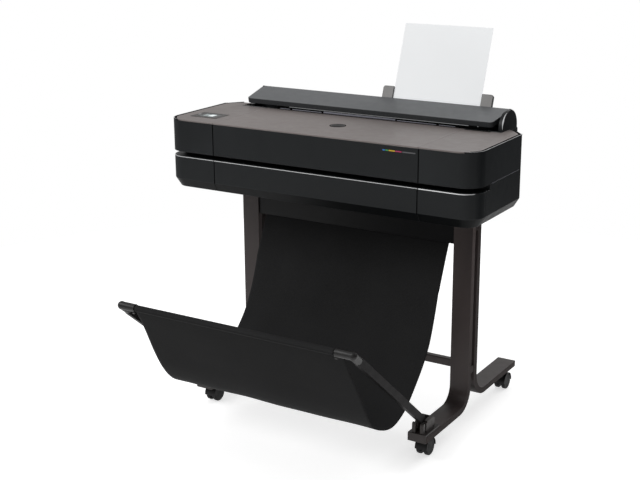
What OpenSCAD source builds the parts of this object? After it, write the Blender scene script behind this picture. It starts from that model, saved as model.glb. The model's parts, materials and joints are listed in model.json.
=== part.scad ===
// Large format plotter on a wheeled stand, with a cloth catch basket.
// X runs along the width, +Y to the rear, +Z up. The origin is on the floor, under the middle of its box.

/* [Body] */
// Width of the printer body
body_w = 1013; // [960:1:1080]
// Height of the lid's top face above the floor
lid_top = 884; // [870:1:900]
// Radius of the body's front corners, seen from above
corner_r = 55; // [40:1:60]
// Depth of the body's full-width part
side_depth = 293; // [291:1:296]
// Thickness of the moulded covers
wall = 3; // [2:0.5:4]
// Distance from the middle to the front cover seams
seam_x = 335; // [320:1:345]
// Width of the seams between covers
seam_gap = 0.8; // [0.4:0.1:1.5]

/* [Output slot] */
// Height of the slot's upper edge
slot_top = 787; // [785:1:790]
// Height of the slot's lower edge
slot_low = 772; // [768:1:774]
// Depth of the slot's open ends, along the body's sides
slot_depth = 84; // [70:1:90]

/* [Roll and sheet] */
// Height of the roll spindle
spindle_z = 846; // [840:1:848]
// Radius of the paper roll
roll_r = 42; // [20:1:42]
// Edge of the paper path, at the fixed guide
paper_edge_x = 326; // [310:1:330]
// Width of the roll paper
roll_w = 610; // [420:1:610]
// Width of the loaded sheet
sheet_w = 287; // [210:1:297]
// Length of the loaded sheet
sheet_l = 420; // [297:1:420]

/* [Stand] */
// Distance from the middle to each leg's centre
leg_x = 367; // [350:1:380]
// Width of a leg plate
leg_w = 59; // [45:1:64]
// Thickness of a leg plate
leg_t = 19; // [14:1:20]
// Front face of the front leg plate, behind the body's front
leg_front_y = 230; // [210:1:240]
// Height of the front foot's underside
front_foot_z = 58; // [57:1:62]
// Height of the rear foot's underside
rear_foot_z = 69; // [66:1:74]
// Rear end of the rear foot, behind the body's front
rear_foot_y = 590; // [560:1:600]
// Radius of the caster wheels
wheel_r = 25; // [22:1:26]

/* [Basket] */
// Distance of the basket bar in front of the body
bar_reach = 398; // [380:1:410]
// Height of the basket bar
bar_z = 438; // [420:1:450]
// Radius of the basket bar
bar_r = 8; // [6:0.5:9]
// Height of the arm pivot
pivot_z = 106; // [104:1:108]

/* [Hidden] */
$fn = 64;

// Colours
charcoal = [0.17, 0.18, 0.19];
taupe = [0.50, 0.46, 0.45];
cover_grey = [0.40, 0.41, 0.42];
stand_brown = [0.22, 0.19, 0.19];
black = [0.07, 0.07, 0.07];
steel = [0.62, 0.63, 0.65];
cloth_black = [0.10, 0.10, 0.11];

// Body sizes
half_w = body_w / 2;
lid_t = 4.5;
lid_under = lid_top - lid_t;
body_bottom = 677;
chamfer_in = 16;
chamfer_top = body_bottom + 26;
flange_t = 3;
cut_x = seam_x + seam_gap / 2;
far = 2000;
side_groove = 9;
taper_w = 465;
taper_y = 345;
tail_y = 420;
slot_back_y = 61;
cover_end_y = 59.5;
shell_y = 60.3;
door_pin = [24, 684];
pin_hole_r = 1.55;
small_pin_r = 1.5;
window_back_y = 284;
lid_back_y = window_back_y + 3;
hinge_z = lid_top - 2;
window_pin_r = 1.2;
rim_y = wall + 2;
fit = 0.05;

// Roll bay
bay_w = 431;
bay_floor = 798;
bay_back_y = 396;
arch_t = 16;
arch_y = 349;
arch_r = 50;
arch_z = 888;
tail_w = bay_w + arch_t;
bay_wall = tail_w - 2;
post_t = 12.8;
spindle_y = 348;
spindle_r = 8;
cover_back_y = 403;
cover_back_z = 931;
cover_l = 113;
cover_tilt = 11.5;
cover_t = 4;
cover_lip = 16;
cover_half = 417;
cover_pin_y = 401;
cover_pin_z = 928;
ear_x = 421;
ear_t = 6;
sheet_lean = 19.5;
sheet_bend_r = 200;
sheet_t = 0.4;
sheet_exit = [413, 932];
sheet_out = 227;

// Print mechanism
rail_half = 452;
rod_y = 180;
rod_z = 835;
rod_r = 5;
pulley_x = 475;
pulley_y = 202;
pulley_r = 10;
belt_z = 864;
belt_h = 7;
feed_y = 165;
feed_r = 12;
paper_z = 780;
feed_z = paper_z - feed_r;
pinch_r = 8;
pinch_z = paper_z + 0.3 + pinch_r;
feed_shaft_r = 4;
pinch_shaft_r = 3;

// Stand and basket
leg_back_y = leg_front_y + 60 - leg_t;
leg_top = 668;
bolt_r = 3;
bend_front_r = 50;
bend_rear_r = 62;
foot_front_y = -38;
front_foot_top = front_foot_z + leg_t;
rear_foot_top = rear_foot_z + leg_t;
arm_x = 368;
arm_w = 13;
arm_h = 22;
arm_slot = 14;
pivot_y = -2;
pin_r = 4;
arm_reach = bar_reach + pivot_y;
arm_rise = bar_z - pivot_z;
arm_angle = atan2(arm_rise, arm_reach);
arm_l = sqrt(arm_reach * arm_reach + arm_rise * arm_rise);
fitting_r = 11.2;
knuckle = 0.8;
bar_front = bar_reach + fitting_r + knuckle;
front_y = -(rear_foot_y - bar_front) / 2;
fitting_l = 34;
bar_half = 352;
sleeve_half = 317;
sleeve_t = 2;
cloth_t = 3;
cloth_split_y = -100;
header_low = 558;
header_y = leg_front_y + 5;
stem_r = 5;
caster_trail = 16;
front_swivel_y = -2;
rear_swivel_y = 544;
hood_r = wheel_r + 3.5;

// The cloth's path from the header beam to the bar, as [depth, height]
cloth_rear_path = [[header_y + 9, header_low - 1], [212, 490], [185, 430], [160, 360], [130, 295], [97, 250],
    [60, 212], [7, 170], [-40, 144], [cloth_split_y + 1, 132]];
cloth_front_path = [[cloth_split_y, 132], [-140, 134], [-186, 146], [-232, 172], [-269, 216],
    [-306, 280], [-338, 340], [-366, 392], [-bar_reach + 6, bar_z - 7]];
// Half of the cloth's width against its height
cloth_half_top = 316;
cloth_half_low = 340;

module placed() translate([0, front_y, 0]) children();
module along_x(x0, x1) translate([x0, 0, 0]) rotate([90, 0, 90]) linear_extrude(x1 - x0) children();
module both_sides() { children(); mirror([1, 0, 0]) children(); }
module box(lo, hi) translate(lo) cube(hi - lo);
module rod_x(x0, x1, y, z, r) translate([x0, y, z]) rotate([0, 90, 0]) cylinder(r = r, h = x1 - x0);

// Plan outline of the body, inset from its outer face
module plan(inset) {
    w = half_w - inset;
    c = half_w - corner_r;
    polygon([[-w, corner_r], [-w, side_depth], [-(taper_w - inset), taper_y - inset],
        [taper_w - inset, taper_y - inset], [w, side_depth], [w, corner_r], [c, inset], [-c, inset]]);
    translate([c, corner_r]) circle(corner_r - inset);
    translate([-c, corner_r]) circle(corner_r - inset);
}

// Section of the lower covers: depth inward from the outer face, against height
module lower_section(top) {
    polygon([[0, chamfer_top], [chamfer_in, body_bottom], [chamfer_in + wall, body_bottom],
        [chamfer_in + wall, body_bottom + flange_t], [wall, chamfer_top + 1], [wall, top], [0, top]]);
}

// The same section with the flange that forms the slot's floor
module lower_section_flanged() {
    lower_section(slot_low);
    translate([0, slot_low - flange_t]) square([corner_r - 1, flange_t]);
}

// A section swept round the right front corner, from the middle to the given depth
module right_skirt(x_from, y_to) {
    c = half_w - corner_r;
    along_x(x_from, c) children();
    translate([c, corner_r, 0]) rotate([0, 0, -90]) rotate_extrude(angle = 90)
        translate([corner_r, 0]) mirror([1, 0]) children();
    translate([half_w, y_to, 0]) rotate([90, 0, 0]) linear_extrude(y_to - corner_r)
        mirror([1, 0]) children();
}

module base_shell() color(charcoal) placed() {
    difference() {
        box([-half_w + chamfer_in, shell_y, body_bottom],
            [half_w - chamfer_in, side_depth, body_bottom + flange_t]);
        both_sides() plate_bolts() cylinder(r = bolt_r + 0.2, h = far);
    }
    both_sides() {
        translate([half_w, side_depth, 0]) rotate([90, 0, 0])
            linear_extrude(side_depth - slot_depth) mirror([1, 0]) lower_section(slot_top - 1.2);
        translate([half_w, slot_depth + 0.1, 0]) rotate([90, 0, 0])
            linear_extrude(slot_depth + 0.1 - shell_y) mirror([1, 0]) lower_section_flanged();
        box([rail_half + 4, slot_depth, slot_low - flange_t], [half_w - 1, slot_depth + wall, slot_top - 1.2]);
    }
    along_x(-half_w + chamfer_in, half_w - chamfer_in)
        translate([side_depth - wall, body_bottom]) square([wall, chamfer_top - body_bottom]);
    difference() {
        along_x(446, 450) {
            translate(door_pin) circle(3.8);
            translate([door_pin[0], body_bottom + flange_t + 0.3]) square([40, 6]);
            translate([shell_y + 0.7, body_bottom + 1]) square([3.3, 8]);
        }
        rod_x(440, 460, door_pin[0], door_pin[1], pin_hole_r);
    }
}

module lower_front_cover() color(charcoal) placed() difference() {
    union() {
        along_x(-seam_x + seam_gap / 2, seam_x - seam_gap / 2) lower_section_flanged();
        door_lug(329, 333);
    }
    rod_x(328, 334, door_pin[0], door_pin[1], pin_hole_r);
}

module lower_cover_left() color(charcoal) placed() mirror([1, 0, 0])
    right_skirt(cut_x, cover_end_y) lower_section_flanged();

// A lug of the ink door's hinge, standing on the inside of the chamfer
module door_lug(x0, x1) along_x(x0, x1) {
    translate(door_pin) circle(3.8);
    polygon([[15.5, 680], [17.5, 678], door_pin + [2, -3], door_pin + [2, 2], [13.5, 688]]);
}
module ink_door() color(charcoal) placed() {
    right_skirt(cut_x, cover_end_y) lower_section_flanged();
    door_lug(338, 343);
    door_lug(440, 445);
    rod_x(329.5, 340, door_pin[0], door_pin[1], small_pin_r);
    rod_x(442, 449.5, door_pin[0], door_pin[1], small_pin_r);
}

module platen() color(black) placed() difference() {
    union() {
        box([-rail_half, slot_back_y, slot_low], [rail_half, slot_back_y + 2, paper_z - 1]);
        box([-312, slot_back_y + 2, paper_z - 6], [348, feed_y - feed_r - 4, paper_z - 1]);
        for (x = [-312, 344]) box([x, feed_y - 25, feed_z - 18], [x + 4, feed_y + 20, 797]);
        for (x = [-288:30:320]) box([x, slot_back_y + 7, paper_z - 14], [x + 2, feed_y - feed_r - 6, paper_z - 6]);
    }
    rod_x(-400, 400, feed_y, feed_z, feed_shaft_r + fit);
    rod_x(-400, 400, feed_y, pinch_z, pinch_shaft_r + fit);
}

// Upper end cover on the right side
module upper_end() {
    intersection() {
        union() {
            translate([0, 0, slot_top]) linear_extrude(lid_under - slot_top) difference() {
                plan(0);
                plan(wall);
            }
            translate([0, 0, slot_top]) linear_extrude(lid_top - slot_top) difference() {
                plan(0);
                plan(wall);
                translate([-far, rim_y - far]) square([2 * far, far]);
            }
            translate([0, 0, slot_top]) linear_extrude(flange_t) intersection() {
                plan(wall - 1);
                union() {
                    square([far, slot_back_y - 1]);
                    translate([rail_half + 4, 0]) square([far, slot_depth]);
                }
            }
        }
        box([cut_x, -1, 0], [far, side_depth, far]);
    }
}
module upper_cover_right() color(charcoal) placed() upper_end();
module upper_cover_left() color(charcoal) placed() mirror([1, 0, 0]) upper_end();

module window_front() color(charcoal) placed() along_x(-seam_x + seam_gap / 2, seam_x - seam_gap / 2) {
    translate([0, slot_top]) square([wall, lid_under - slot_top]);
    translate([wall, slot_top]) square([47, flange_t]);
    translate([47, slot_top + flange_t]) square([wall, 6]);
}

// The window's rear edge is its hinge barrel, with a stub pin at each end
module window_top() color(taupe) placed() {
    box([-seam_x + seam_gap / 2, 0.5, lid_under], [seam_x - seam_gap / 2, window_back_y, lid_top]);
    rod_x(-seam_x + seam_gap / 2, seam_x - seam_gap / 2, window_back_y, hinge_z, 1.8);
    rod_x(-seam_x - 5, seam_x + 5, window_back_y, hinge_z, window_pin_r);
}

// Outline of the lid's right end: flush with the front, inset along the side
module lid_outline() {
    w = half_w - side_groove;
    r = corner_r - 0.5;
    polygon([[cut_x, 0.5], [w - r, 0.5], [w, corner_r], [w, side_depth],
        [taper_w - side_groove, taper_y - side_groove], [cut_x, taper_y - side_groove]]);
    translate([w - r, corner_r]) circle(r);
}
module lid_end(back_x) difference() {
    union() {
        translate([0, 0, lid_under]) linear_extrude(lid_t) lid_outline();
        translate([0, 0, lid_under]) linear_extrude(1.5) intersection() {
            plan(wall + 0.2);
            translate([cut_x, corner_r]) square([far, far]);
        }
    }
    translate([0, lid_back_y, 0]) cube([back_x, far, far]);
    rod_x(seam_x, seam_x + 6, window_back_y, hinge_z, window_pin_r + fit);
}
module lid_ends() color(taupe) placed() difference() {
    union() {
        lid_end(tail_w + 0.5);
        mirror([1, 0, 0]) lid_end(bay_w);
    }
    translate([-452, 95, 0]) cylinder(r = 5.3, h = far);
}

module display_bezel() color(black) placed() difference() {
    box([-462, 60, lid_top], [-368, 130, lid_top + 0.8]);
    box([-442.2, 71.8, 0], [-384.8, 120.2, far]);
    translate([-452, 95, 0]) cylinder(r = 5.3, h = far);
}
module display_screen() color([0.75, 0.85, 0.85]) placed()
    box([-442, 72, lid_top], [-385, 120, lid_top + 0.5]);
module power_button() color(steel) placed()
    translate([-452, 95, lid_under + 1]) cylinder(r = 5, h = lid_t + 0.3);

// Outline of the housing behind the full-width part
module tail(inset) polygon([
    [-half_w + inset, side_depth + 0.3], [-taper_w + inset, taper_y], [-tail_w + inset, taper_y + 8],
    [-tail_w + inset, tail_y - 15], [-tail_w + 15 + inset / 2, tail_y - inset],
    [tail_w - 15 - inset / 2, tail_y - inset], [tail_w - inset, tail_y - 15],
    [tail_w - inset, taper_y + 8], [taper_w - inset, taper_y], [half_w - inset, side_depth + 0.3]]);

module rear_housing() color(charcoal) placed() difference() {
    union() {
        translate([0, 0, chamfer_top]) linear_extrude(lid_under - chamfer_top)
            difference() { tail(0); tail(wall); }
        translate([0, 0, chamfer_top]) linear_extrude(lid_top - chamfer_top) difference() {
            tail(0);
            tail(wall);
            translate([-taper_w + 1, 0]) square([2 * taper_w - 2, far]);
        }
        translate([0, 0, chamfer_top]) linear_extrude(wall) tail(0);
        box([-bay_wall, side_depth + 1, bay_floor - 4], [bay_wall, bay_back_y, bay_floor]);
        box([-bay_wall, side_depth + 1, 730], [bay_wall, side_depth + 4, lid_under - 0.5]);
        box([-bay_w + 0.3, window_back_y + 3.5, lid_top - 8], [bay_w + arch_t, side_depth + 4, lid_top]);
    }
    box([-418, tail_y - 8, 716], [-388, tail_y + 8, 742]);
}

// Back plate of the sheet slot, parallel to the leaning sheet, with the roll cover's two hinge ears
module rear_tray() color(charcoal) placed() difference() {
    union() {
        translate([0, sheet_exit[0], sheet_exit[1]]) rotate([-sheet_lean, 0, 0])
            box([-bay_w + 4, 7, -50], [bay_w - 4, 11, -12]);
        box([-bay_w + 4, 406, lid_under], [bay_w - 4, tail_y, lid_under + 5]);
        both_sides() along_x(ear_x, ear_x + ear_t) {
            translate([cover_pin_y, cover_pin_z]) circle(3.2);
            polygon([[398.3, 926.3], [403.8, 929.6], [414, 907], [407, 903]]);
        }
    }
    rod_x(-far / 2, far / 2, cover_pin_y, cover_pin_z, pin_hole_r);
}

// Outline of the cover's plate in its own plane, from the rear edge forward
module cover_outline(inset) {
    round_r = 12;
    back_half = ear_x + ear_t;
    polygon([[-back_half + inset, 0], [-cover_half + inset, -cover_l + round_r],
        [-cover_half + round_r, -cover_l + inset], [cover_half - round_r, -cover_l + inset],
        [cover_half - inset, -cover_l + round_r], [back_half - inset, 0]]);
    both_sides() translate([cover_half - round_r, -cover_l + round_r]) circle(round_r - inset);
}
module roll_cover() color(cover_grey) placed() difference() {
    union() {
        translate([0, cover_back_y, cover_back_z]) rotate([cover_tilt, 0, 0]) {
            translate([0, 0, -cover_t]) linear_extrude(cover_t) cover_outline(0);
            translate([0, 0, -cover_lip]) linear_extrude(cover_lip - 1) difference() {
                cover_outline(0);
                cover_outline(3);
                translate([-far, -30]) square([2 * far, far]);
            }
        }
        rod_x(-ear_x + 0.3, ear_x - 0.3, cover_pin_y, cover_pin_z, 2.4);
        rod_x(-ear_x - ear_t + 0.5, ear_x + ear_t - 0.5, cover_pin_y, cover_pin_z, small_pin_r);
    }
    both_sides() difference() {
        box([ear_x - 0.3, cover_pin_y - 4.5, 900], [far, far, far]);
        rod_x(0, ear_x + ear_t, cover_pin_y, cover_pin_z, small_pin_r);
    }
}

// Carriers of the roll spindle: a D-shaped arch on the right, a low post under the lid on the left
module end_arches() color(charcoal) placed() difference() {
    union() {
        difference() {
            union() {
                along_x(bay_w, bay_w + 7) arch_outline(arch_r - 4);
                along_x(bay_w + 7, bay_w + arch_t) arch_outline(arch_r);
            }
            box([0, 0, 0], [far, far, lid_under]);
        }
        along_x(bay_w, bay_w + post_t) translate([side_depth + 4, bay_floor])
            square([bay_back_y - side_depth - 4, lid_under - bay_floor + 0.5]);
        mirror([1, 0, 0]) along_x(bay_w, bay_w + post_t) translate([side_depth + 4, bay_floor])
            square([bay_back_y - side_depth - 4, lid_under - bay_floor - 0.2]);
    }
    box([0, 0, 0], [far, side_depth + 4, lid_top]);
    rod_x(-far / 2, far / 2, spindle_y, spindle_z, spindle_r + fit);
}
module arch_outline(r) {
    translate([arch_y, arch_z]) circle(r, $fn = 96);
    translate([arch_y - r, lid_under - 1]) square([2 * r, arch_z - lid_under + 1]);
}

module power_inlet() color(black) placed() difference() {
    union() {
        box([-417.5, tail_y - 20, 716.5], [-388.5, tail_y, 741.5]);
        box([-423, tail_y, 712], [-383, tail_y + 2, 746]);
    }
    box([-414, tail_y - 16, 720], [-392, tail_y + 3, 738]);
}

// Right guide: a plate beside the sheet's edge, in its plane, with a lip behind the sheet
module guide() {
    guide_w = 36;
    guide_low = -40;
    guide_high = 32;
    round_r = 8;
    translate([0, sheet_exit[0], sheet_exit[1]]) rotate([-sheet_lean, 0, 0]) {
        translate([0.5, 6, 0]) rotate([90, 0, 0]) linear_extrude(11) {
            translate([0, guide_low]) square([guide_w, guide_high - round_r - guide_low]);
            square([guide_w - round_r, guide_high]);
            translate([guide_w - round_r, guide_high - round_r]) circle(round_r);
        }
        box([-10, 3, -28], [2, 6, 24]);
    }
}
module sheet_guide_left() color(cover_grey) placed()
    translate([paper_edge_x - sheet_w, 0, 0]) mirror([1, 0, 0]) guide();
module sheet_guide_right() color(cover_grey) placed() translate([paper_edge_x, 0, 0]) guide();

// Sheet profile: straight where it leans out, bent to run down behind the roll
module sheet_profile() {
    o = sheet_exit;
    top = o + sheet_out * [sin(sheet_lean), cos(sheet_lean)];
    centre = o + sheet_bend_r * [cos(sheet_lean), -sin(sheet_lean)];
    arc_l = sheet_bend_r * sheet_lean * PI / 180;
    foot = centre - [sheet_bend_r, sheet_l - sheet_out - arc_l];
    n = 12;
    inner = [for (i = [0:n]) let(a = 180 - sheet_lean * (1 - i / n))
        centre + sheet_bend_r * [cos(a), sin(a)]];
    outer = [for (i = [n:-1:0]) let(a = 180 - sheet_lean * (1 - i / n))
        centre + (sheet_bend_r - sheet_t) * [cos(a), sin(a)]];
    polygon(concat([top], inner, [foot, foot + [sheet_t, 0]], outer,
        [top + sheet_t * [cos(sheet_lean), -sin(sheet_lean)]]));
}
module paper_sheet() color("white") placed() along_x(paper_edge_x - sheet_w, paper_edge_x) sheet_profile();

roll_x0 = paper_edge_x - roll_w;
flange_r = roll_r + 1.5;
module roll_spindle() color(black) placed() {
    rod_x(-bay_w - 12, bay_w + 12, spindle_y, spindle_z, spindle_r);
    rod_x(paper_edge_x + 1, paper_edge_x + 7, spindle_y, spindle_z, flange_r);
    rod_x(roll_x0 - 7, roll_x0 - 1, spindle_y, spindle_z, flange_r);
}
module paper_roll() color("white") placed() difference() {
    rod_x(roll_x0, paper_edge_x, spindle_y, spindle_z, roll_r);
    rod_x(-far, far, spindle_y, spindle_z, spindle_r + 2);
}

module side_frames() color(steel) placed() both_sides()
    box([rail_half, slot_depth + 2, body_bottom + flange_t], [rail_half + 3, side_depth - wall - 0.5, 860]);

module carriage_rail() color(steel) placed() difference() {
    union() {
        along_x(-rail_half, rail_half) polygon([[190, 800], [215, 800], [215, 803], [193, 803],
            [193, 857], [215, 857], [215, 860], [190, 860]]);
        both_sides() box([rail_half - 6, 168, 800], [rail_half - 2, 190, 860]);
        both_sides() box([rail_half + 3, 190, 856], [pulley_x + 14, 214, 860]);
        both_sides() box([rail_half, 190, 860], [pulley_x + 14, 214, 861]);
    }
    rod_x(-rail_half - 1, rail_half + 1, rod_y, rod_z, rod_r);
    both_sides() translate([pulley_x, pulley_y, 800]) cylinder(r = 3 + fit, h = 80);
}
module guide_rod() color(steel) placed() rod_x(-rail_half + 2, rail_half - 2, rod_y, rod_z, rod_r);

module carriage() color(black) placed() difference() {
    union() {
        box([352, 92, 800], [440, 188, 850]);
        box([358, 98, 850], [434, 150, 862]);
        box([370, 160, 850], [420, 188, 862]);
        box([380, 182, 862], [410, 190, 872]);
        for (x = [364, 400]) box([x, 100, 798], [x + 28, 136, 800]);
    }
    rod_x(0, far, rod_y, rod_z, rod_r + fit);
}

module belt_outline(r) {
    both_sides() translate([pulley_x, pulley_y]) circle(r);
    translate([-pulley_x, pulley_y - r]) square([2 * pulley_x, 2 * r]);
}
module drive_belt() color(black) placed() translate([0, 0, belt_z]) linear_extrude(belt_h)
    difference() { belt_outline(pulley_r + 1.2); belt_outline(pulley_r + fit); }

module pulley(shaft_low) {
    translate([0, 0, belt_z - 1]) cylinder(r = pulley_r, h = belt_h + 2);
    translate([0, 0, shaft_low]) cylinder(r = 3, h = belt_z - shaft_low);
}
module drive_pulley() color(steel) placed() translate([pulley_x, pulley_y, 0]) pulley(845);
module idler_pulley() color(steel) placed() translate([-pulley_x, pulley_y, 0]) pulley(850);

module motors() color(steel) placed() {
    difference() {
        translate([pulley_x, pulley_y, 805]) cylinder(r = 16, h = 51);
        translate([pulley_x, pulley_y, 840]) cylinder(r = 3 + fit, h = 20);
    }
    difference() {
        rod_x(372, 412, feed_y, feed_z, 19);
        rod_x(371, 392, feed_y, feed_z, feed_shaft_r + fit);
    }
}

module feed_roller() color(black) placed() {
    rod_x(-304, 340, feed_y, feed_z, feed_r);
    rod_x(-318, 390, feed_y, feed_z, feed_shaft_r);
}
module pinch_rollers() color(black) placed() {
    rod_x(-316, 352, feed_y, pinch_z, pinch_shaft_r);
    for (x = [-280:60:320]) rod_x(x, x + 18, feed_y, pinch_z, pinch_r);
}
module cutter() color(black) placed() {
    box([-338, 68, 782], [-308, 88, 806]);
    translate([-323, 66, 790]) rotate([-90, 0, 0]) cylinder(r = 7, h = 2);
}
module ink_cartridges() color(charcoal) placed() for (i = [0:3])
    box([346 + i * 26, 68, body_bottom + 6], [368 + i * 26, 190, 745]);

// One bent leg plate: a vertical run, an arc and a foot
module leg_section(y_face, dir, bend, foot_z, foot_end) {
    outer = bend + leg_t;
    cy = y_face + dir * bend;
    cz = foot_z + outer;
    translate([min(y_face, y_face - dir * leg_t), cz]) square([leg_t, leg_top - cz]);
    translate([min(cy, foot_end), foot_z]) square([abs(foot_end - cy), leg_t]);
    intersection() {
        difference() {
            translate([cy, cz]) circle(outer);
            translate([cy, cz]) circle(bend);
        }
        translate([dir > 0 ? cy - outer : cy, foot_z]) square([outer, outer]);
    }
}
module leg_front() difference() {
    along_x(leg_x - leg_w / 2, leg_x + leg_w / 2)
        leg_section(leg_front_y, -1, bend_front_r, front_foot_z, foot_front_y);
    translate([leg_x, front_swivel_y, 0]) cylinder(r = stem_r + fit, h = front_foot_top + 1);
}
module leg_rear() difference() {
    along_x(leg_x - leg_w / 2, leg_x + leg_w / 2)
        leg_section(leg_back_y + leg_t, 1, bend_rear_r, rear_foot_z, rear_foot_y);
    translate([leg_x, rear_swivel_y, 0]) cylinder(r = stem_r + fit, h = rear_foot_top - 2);
}
module leg_front_left() color(stand_brown) placed() mirror([1, 0, 0]) leg_front();
module leg_front_right() color(stand_brown) placed() leg_front();
module leg_rear_left() color(stand_brown) placed() mirror([1, 0, 0]) leg_rear();
module leg_rear_right() color(stand_brown) placed() leg_rear();

module leg_spacers() color(stand_brown) placed() both_sides() for (z = [164, 600])
    box([leg_x - 28, leg_front_y + leg_t, z], [leg_x + 28, leg_back_y, z + 20]);
module cross_brace() color(stand_brown) placed()
    box([-leg_x + leg_w / 2, leg_front_y + 12, 176], [leg_x - leg_w / 2, leg_front_y + 32, 200]);
module header_beam() color(black) placed() along_x(-leg_x + leg_w / 2, leg_x - leg_w / 2) difference() {
    translate([header_y, header_low]) square([18, 96]);
    translate([header_y + 3, header_low + 3]) square([16, 90]);
}
module plate_bolts() for (y = [170, leg_front_y + 30], x = [-17, 17]) translate([leg_x + x, y, 0]) children();
module stand_plates() color(stand_brown) placed() both_sides() difference() {
    box([leg_x - 37, 150, leg_top], [leg_x + 37, side_depth - 2, body_bottom]);
    plate_bolts() cylinder(r = bolt_r + 0.2, h = far);
}
module stand_bolts() color(steel) placed() both_sides() plate_bolts() {
    translate([0, 0, leg_top - 4]) cylinder(r = 6, h = 4);
    translate([0, 0, leg_top - 2]) cylinder(r = bolt_r, h = 14);
}

module arm_socket() difference() {
    union() {
        box([leg_x - 28, foot_front_y, front_foot_top], [leg_x + 28, 46, front_foot_top + 6]);
        box([leg_x - 28, foot_front_y - 4, front_foot_z], [leg_x + 28, foot_front_y, front_foot_top + 6]);
        along_x(arm_x - arm_slot / 2 - 11, arm_x + arm_slot / 2 + 11) {
            translate([foot_front_y, front_foot_top + 6]) square([11, 25]);
            translate([foot_front_y + 5.5, front_foot_top + 31]) circle(5.5);
            translate([-20, front_foot_top + 6]) square([52, 28]);
            translate([-14, front_foot_top + 34]) square([40, 4]);
        }
    }
    box([arm_x - arm_slot / 2, foot_front_y - 10, front_foot_top + 6], [arm_x + arm_slot / 2, 22, 200]);
    rod_x(arm_x - 30, arm_x + 30, pivot_y, pivot_z, pin_r);
}
module arm_socket_right() color(stand_brown) placed() {
    arm_socket();
    rod_x(arm_x - arm_slot / 2 - 11, arm_x + arm_slot / 2 + 11, pivot_y, pivot_z, pin_r);
}
module arm_socket_left() color(stand_brown) placed() mirror([1, 0, 0]) {
    arm_socket();
    rod_x(arm_x - arm_slot / 2 - 11, arm_x + arm_slot / 2 + 11, pivot_y, pivot_z, pin_r);
}

// Twin-wheel caster: the hood swivels about the stem, the wheels trail behind it
module caster_hood(side, swivel_y, foot_z, stem_top) {
    wheel_y = swivel_y + caster_trail;
    translate([side * leg_x, 0, 0]) difference() {
        union() {
            difference() {
                rod_x(-19, 19, wheel_y, wheel_r, hood_r);
                box([-30, wheel_y - 40, -10], [30, wheel_y + 40, wheel_r - 2]);
            }
            rod_x(-4, 4, wheel_y, wheel_r, 18);
            translate([0, swivel_y, wheel_r + 18]) cylinder(r = 11, h = foot_z - wheel_r - 18.5);
            translate([0, swivel_y, wheel_r + 18]) cylinder(r = stem_r, h = stem_top - wheel_r - 18);
        }
        for (x = [-40, 4.5]) rod_x(x, x + 35.5, wheel_y, wheel_r, wheel_r + 1);
        rod_x(-30, 30, wheel_y, wheel_r, 3 + fit);
    }
}
module caster_wheels(side, swivel_y) translate([side * leg_x, 0, 0]) {
    wheel_y = swivel_y + caster_trail;
    rod_x(-6, 6, wheel_y, wheel_r, 3);
    for (x = [-18, 5.5]) rod_x(x, x + 12.5, wheel_y, wheel_r, wheel_r);
}

module in_arm_frame() translate([0, pivot_y, pivot_z]) rotate([-arm_angle, 0, 0]) children();
module basket_arm() in_arm_frame() difference() {
    union() {
        box([arm_x - arm_w / 2, -arm_l + fitting_l, -arm_h / 2], [arm_x + arm_w / 2, 0, arm_h / 2]);
        rod_x(arm_x - arm_w / 2, arm_x + arm_w / 2, 0, 0, arm_h / 2);
    }
    rod_x(arm_x - 30, arm_x + 30, 0, 0, pin_r + fit);
}
module basket_bar() color(stand_brown) placed() rod_x(-bar_half, bar_half, -bar_reach, bar_z, bar_r);
module bar_fittings() color(stand_brown) placed() both_sides() difference() {
    union() {
        rod_x(sleeve_half + 2, arm_x, -bar_reach, bar_z, fitting_r);
        rod_x(sleeve_half + 2, sleeve_half + 10, -bar_reach - 3, bar_z - fitting_r - 1.5, 3.5);
        translate([arm_x, -bar_reach, bar_z]) sphere(fitting_r + knuckle);
        in_arm_frame() translate([arm_x, -arm_l, 0]) rotate([-90, 0, 0]) cylinder(r = fitting_r, h = fitting_l);
    }
    rod_x(sleeve_half, bar_half, -bar_reach, bar_z, bar_r);
}

// A strip of even thickness along a path of [depth, height] points
function strip_normal(p, i) = let(a = p[max(i - 1, 0)], b = p[min(i + 1, len(p) - 1)], d = b - a)
    [-d[1], d[0]] / norm(d);
module strip(p) polygon(concat(p, [for (i = [len(p) - 1:-1:0]) p[i] + cloth_t * strip_normal(p, i)]));

module basket_cloth_rear() color(cloth_black) placed() intersection() {
    along_x(-cloth_half_low, cloth_half_low) strip(cloth_rear_path);
    translate([0, far, 0]) rotate([90, 0, 0]) linear_extrude(2 * far) polygon([
        [-cloth_half_low, 0], [cloth_half_low, 0], [cloth_half_low, 230], [cloth_half_top, 330],
        [cloth_half_top, far], [-cloth_half_top, far], [-cloth_half_top, 330], [-cloth_half_low, 230]]);
}
module basket_cloth_front() color(cloth_black) placed() difference() {
    union() {
        intersection() {
            along_x(-cloth_half_low, cloth_half_low) strip(cloth_front_path);
            translate([0, far, 0]) rotate([90, 0, 0]) linear_extrude(2 * far) polygon([
                [-cloth_half_low, 0], [cloth_half_low, 0], [cloth_half_low, 190], [sleeve_half, 390],
                [sleeve_half, far], [-sleeve_half, far], [-sleeve_half, 390], [-cloth_half_low, 190]]);
        }
        rod_x(-sleeve_half, sleeve_half, -bar_reach, bar_z, bar_r + fit + sleeve_t);
    }
    rod_x(-far, far, -bar_reach, bar_z, bar_r + fit);
}

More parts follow.
